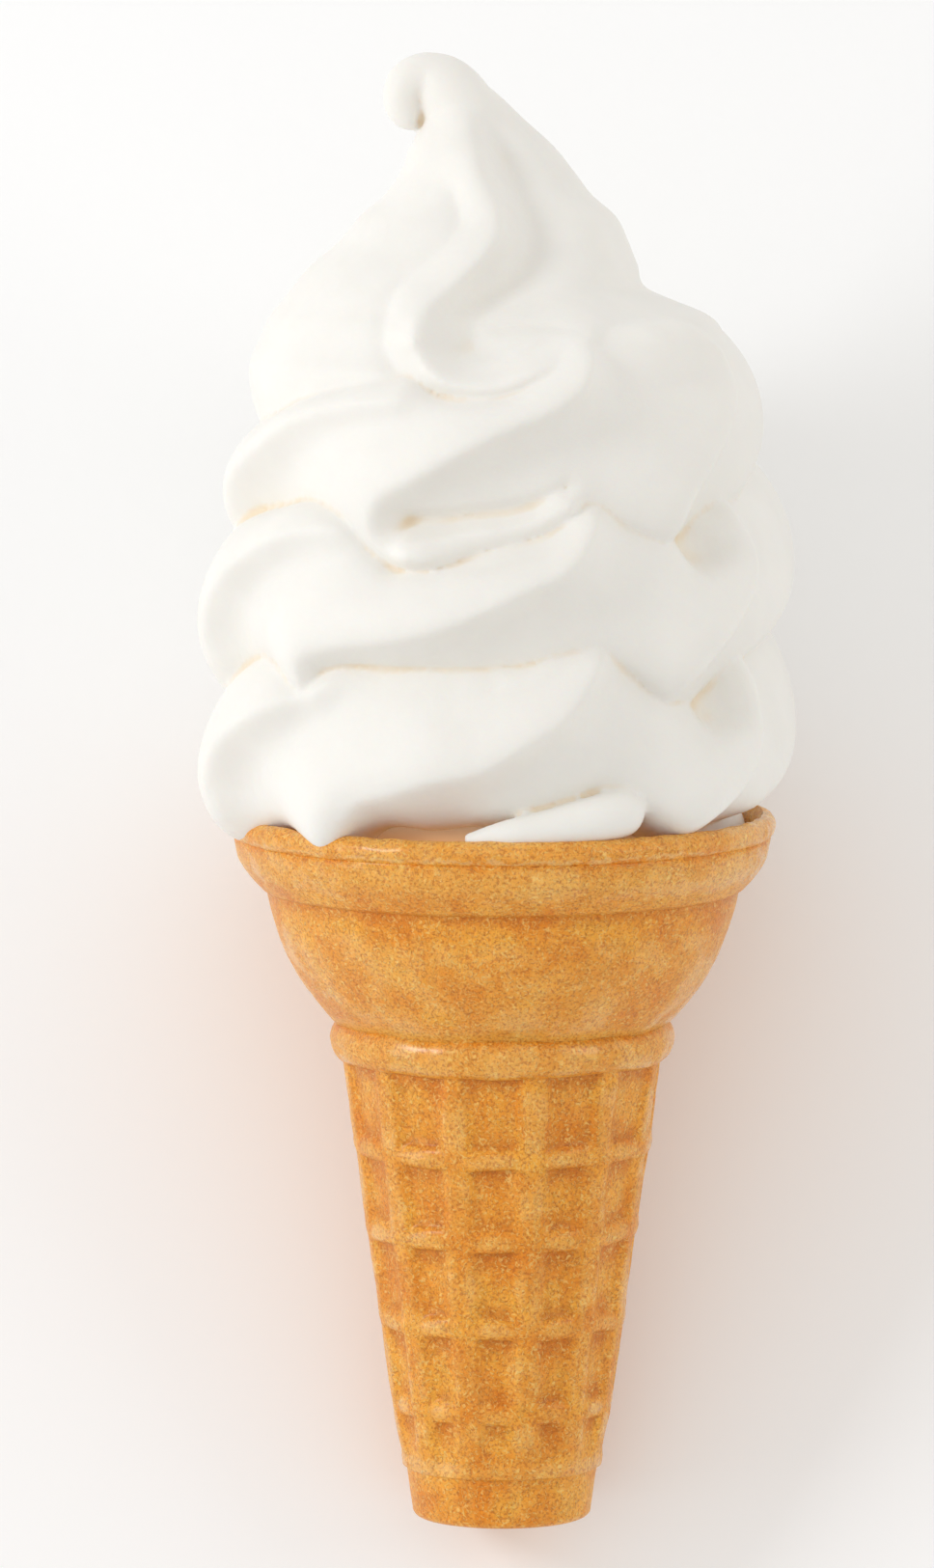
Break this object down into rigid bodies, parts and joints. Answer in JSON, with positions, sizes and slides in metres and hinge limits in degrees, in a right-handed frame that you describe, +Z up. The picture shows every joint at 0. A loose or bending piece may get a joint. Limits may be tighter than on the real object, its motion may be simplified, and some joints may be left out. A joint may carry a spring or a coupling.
{
  "type": "soft serve cone",
  "caption": "White soft serve laid round and round on a moulded wafer cone with a flat foot, peaked at the tip, lying on its back.",
  "frame": {"origin": "middle of the footprint, on the surface that the cone lies on", "axes": "+Y from the foot towards the tip of the soft serve, +Z up, with the pictured side facing up"},
  "size_m": [0.0682, 0.1646, 0.0719],
  "materials": {
    "wafer": "dry baked wafer, golden and blotchy, with fine pits",
    "soft_serve": "smooth, softly shining, warm white"
  },
  "bodies": {
    "root": {"wafer_cone": "wafer", "soft_serve": "soft_serve"}
  },
  "joints": []
}
